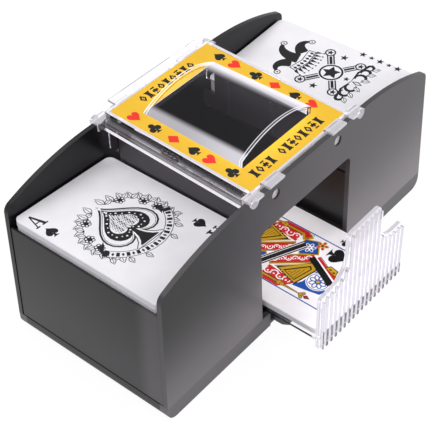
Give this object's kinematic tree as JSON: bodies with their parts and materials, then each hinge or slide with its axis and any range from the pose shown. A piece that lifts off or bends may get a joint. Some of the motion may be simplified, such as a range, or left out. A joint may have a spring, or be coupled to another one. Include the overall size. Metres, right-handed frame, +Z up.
{
  "type": "card shuffler",
  "caption": "Table-top automatic card shuffler: two sloping end trays feed cards by rubber rollers into a clear pull-out drawer under an arched window.",
  "frame": {"origin": "table surface under the middle of the housing", "axes": "+Z up, +X along the housing towards the right tray, +Y from the drawer's front panel to the back panel"},
  "size_m": [0.21, 0.1341, 0.1008],
  "materials": {
    "housing": "semi-gloss charcoal",
    "housing_dark": "semi-gloss near black",
    "base": "satin grey",
    "clear": "clear styrene, polished",
    "insert_print": "gloss printed card",
    "card": "coated playing card",
    "rubber": "matt",
    "steel": "ground",
    "plated": "zinc plated",
    "gear": "natural acetal",
    "brass": "turned",
    "cell": "lacquered sleeve",
    "button": "gloss red",
    "wire": "insulated"
  },
  "bodies": {
    "housing": {"base_pan": "base", "front_panel": "housing", "back_panel": "housing", "left_end_wall": "housing", "right_end_wall": "housing", "left_tray_floor": "housing_dark", "right_tray_floor": "housing_dark", "left_chamber_wall": "housing_dark", "right_chamber_wall": "housing_dark", "left_gate": "housing", "right_gate": "housing", "cover": "clear", "cover_window": "clear", "cover_insert": "insert_print", "battery_box": "housing_dark", "battery_door": "housing_dark", "batteries": "cell", "battery_contacts": "plated", "switch_body": "housing_dark", "left_idler_pin": "steel", "right_idler_pin": "steel", "left_motor": "plated", "right_motor": "plated", "left_drive_plate": "housing_dark", "right_drive_plate": "housing_dark", "shaft_bushes": "brass", "case_screws": "plated", "motor_screws": "plated", "rubber_feet": "rubber", "wiring": "wire"},
    "drawer": {"drawer": "clear"},
    "drawer_cards": {"drawer_deck": "card"},
    "left_cards": {"left_deck": "card"},
    "right_cards": {"right_deck": "card"},
    "left_roller": {"left_roller_shaft": "steel", "left_feed_rollers": "rubber", "left_roller_gear": "gear"},
    "right_roller": {"right_roller_shaft": "steel", "right_feed_rollers": "rubber", "right_roller_gear": "gear"},
    "left_idler": {"left_idler_gear": "gear"},
    "right_idler": {"right_idler_gear": "gear"},
    "left_rotor": {"left_spindle": "steel", "left_pinion": "gear"},
    "right_rotor": {"right_spindle": "steel", "right_pinion": "gear"},
    "button": {"push_button": "button"}
  },
  "joints": [
    {"name": "drawer_slide", "type": "slide", "parent": "housing", "child": "drawer", "axis": [0, -1, 0], "range_m": [-0.03, 0.045]},
    {"name": "drawer_cards_lift", "type": "slide", "parent": "drawer", "child": "drawer_cards", "axis": [0, 0, 1], "range_m": [0, 0.045]},
    {"name": "left_cards_lift", "type": "slide", "parent": "housing", "child": "left_cards", "axis": [0, 0, 1], "range_m": [0, 0.0106]},
    {"name": "right_cards_lift", "type": "slide", "parent": "housing", "child": "right_cards", "axis": [0, 0, 1], "range_m": [0, 0.0082]},
    {"name": "left_roller_spin", "type": "hinge", "parent": "housing", "child": "left_roller", "pos_m": [-0.052, 0, 0.04329], "axis": [0, 1, 0], "continuous": true},
    {"name": "left_idler_spin", "type": "hinge", "parent": "housing", "child": "left_idler", "pos_m": [-0.05997, 0.036, 0.03379], "axis": [0, 1, 0], "continuous": true},
    {"name": "left_rotor_spin", "type": "hinge", "parent": "housing", "child": "left_rotor", "pos_m": [-0.07311, 0.036, 0.03028], "axis": [0, 1, 0], "continuous": true},
    {"name": "right_roller_spin", "type": "hinge", "parent": "housing", "child": "right_roller", "pos_m": [0.052, 0, 0.04329], "axis": [0, -1, 0], "continuous": true},
    {"name": "right_idler_spin", "type": "hinge", "parent": "housing", "child": "right_idler", "pos_m": [0.05997, 0.036, 0.03379], "axis": [0, -1, 0], "continuous": true},
    {"name": "right_rotor_spin", "type": "hinge", "parent": "housing", "child": "right_rotor", "pos_m": [0.07311, 0.036, 0.03028], "axis": [0, -1, 0], "continuous": true},
    {"name": "button_press", "type": "slide", "parent": "housing", "child": "button", "axis": [0, -1, 0], "range_m": [0, 0.002], "stiffness_N_per_m": 300, "springref_m": -0.0003}
  ],
  "couplings": [
    {"joint": "left_idler_spin", "follows": "left_roller_spin", "ratio": -1.5833},
    {"joint": "left_rotor_spin", "follows": "left_roller_spin", "ratio": 3.8},
    {"joint": "right_idler_spin", "follows": "right_roller_spin", "ratio": -1.5833},
    {"joint": "right_rotor_spin", "follows": "right_roller_spin", "ratio": 3.8}
  ]
}
